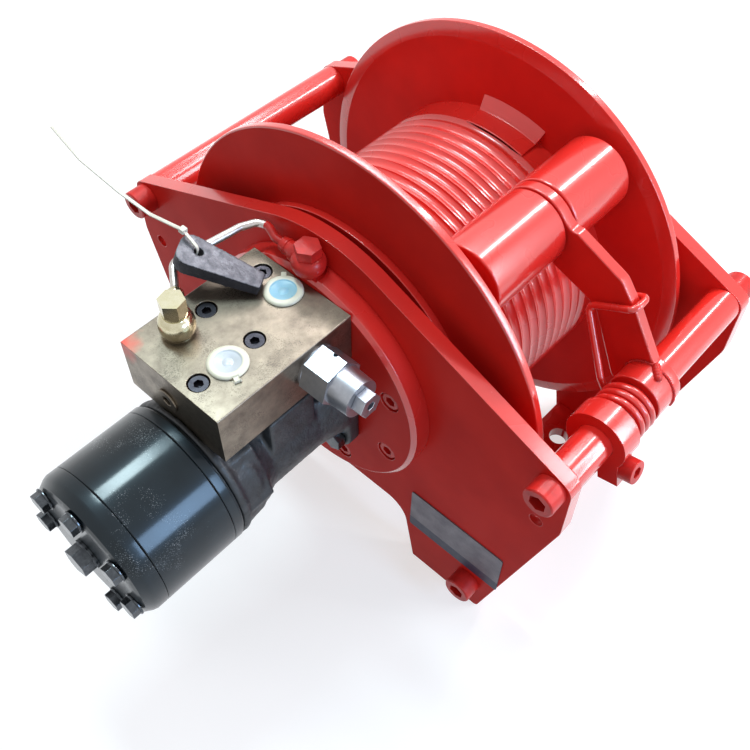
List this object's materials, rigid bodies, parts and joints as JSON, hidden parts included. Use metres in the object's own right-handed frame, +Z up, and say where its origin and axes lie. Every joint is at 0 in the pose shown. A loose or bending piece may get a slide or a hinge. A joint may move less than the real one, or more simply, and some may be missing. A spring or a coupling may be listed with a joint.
{
  "type": "hydraulic winch",
  "caption": "Hydraulic rope winch with a grooved drum between two side plates, an end motor with a valve block, and sprung press rollers over the drum.",
  "frame": {"origin": "centre of the deck bolt pattern on the underside of the feet, below the middle of the drum", "axes": "+X along the drum axis away from the motor, -Y towards the press roller side, +Z up"},
  "size_m": [0.4995, 0.4604, 0.3799],
  "materials": {
    "red_enamel": "gloss red enamel, sprayed",
    "black_enamel": "gloss black enamel",
    "black_casting": "black paint over rough casting",
    "yellow_zinc": "pale yellow zinc plate, milled faces",
    "black_oxide": "black oxide",
    "cap_plastic": "translucent plastic",
    "bright_plate": "bright zinc plate",
    "brass_zinc": "yellow zinc plate",
    "pipe_steel": "galvanised tube",
    "grey_casting": "bare casting",
    "tie_nylon": "nylon",
    "plate_aluminium": "bare sheet"
  },
  "bodies": {
    "frame": {"side_plate_motor_end": "red_enamel", "side_plate_far": "red_enamel", "foot_bars": "red_enamel", "tie_rods": "red_enamel", "tie_rod_screws": "red_enamel", "motor_adapter_ring": "red_enamel", "adapter_screws": "red_enamel", "far_bearing_housing": "red_enamel", "far_bearing_bolts": "red_enamel", "spring_collar": "red_enamel", "collar_screw": "red_enamel", "motor_housing": "black_casting", "motor_port_ring": "black_enamel", "motor_stator": "black_enamel", "motor_end_cover": "black_enamel", "motor_cover_bolts": "black_enamel", "motor_drain_plug": "black_enamel", "motor_mounting_bolts": "black_enamel", "valve_block": "yellow_zinc", "valve_block_screws": "black_oxide", "port_caps": "cap_plastic", "block_end_plug": "yellow_zinc", "relief_cartridge": "bright_plate", "relief_adjuster": "bright_plate", "block_banjo": "brass_zinc", "block_banjo_bolt": "brass_zinc", "brake_pipe": "pipe_steel", "brake_banjo": "red_enamel", "brake_banjo_bolt": "red_enamel", "name_plate": "plate_aluminium", "rope_wedge": "grey_casting", "cable_tie": "tie_nylon"},
    "drum": {"drum_flange_motor_end": "red_enamel", "drum_flange_far": "red_enamel", "drum_core": "red_enamel", "drum_riser": "red_enamel", "drum_hub_motor_end": "red_enamel", "drum_hub_far": "red_enamel"},
    "arm": {"press_arm": "red_enamel", "arm_hub": "red_enamel", "roller_axle": "red_enamel", "roller_washers": "red_enamel", "torsion_spring": "red_enamel"},
    "roller_near": {"press_roller_near": "red_enamel"},
    "roller_far": {"press_roller_far": "red_enamel"}
  },
  "joints": [
    {"name": "drum_spin", "type": "hinge", "parent": "frame", "child": "drum", "pos_m": [0, 0, 0.2], "axis": [1, 0, 0], "continuous": true},
    {"name": "arm_swing", "type": "hinge", "parent": "frame", "child": "arm", "pos_m": [0, -0.205, 0.238], "axis": [1, 0, 0], "range_deg": [0, 30], "stiffness_Nm_per_rad": 30, "springref_deg": -22.92},
    {"name": "roller_near_spin", "type": "hinge", "parent": "arm", "child": "roller_near", "pos_m": [0, -0.09, 0.318], "axis": [1, 0, 0], "continuous": true},
    {"name": "roller_far_spin", "type": "hinge", "parent": "arm", "child": "roller_far", "pos_m": [0, -0.09, 0.318], "axis": [1, 0, 0], "continuous": true}
  ]
}
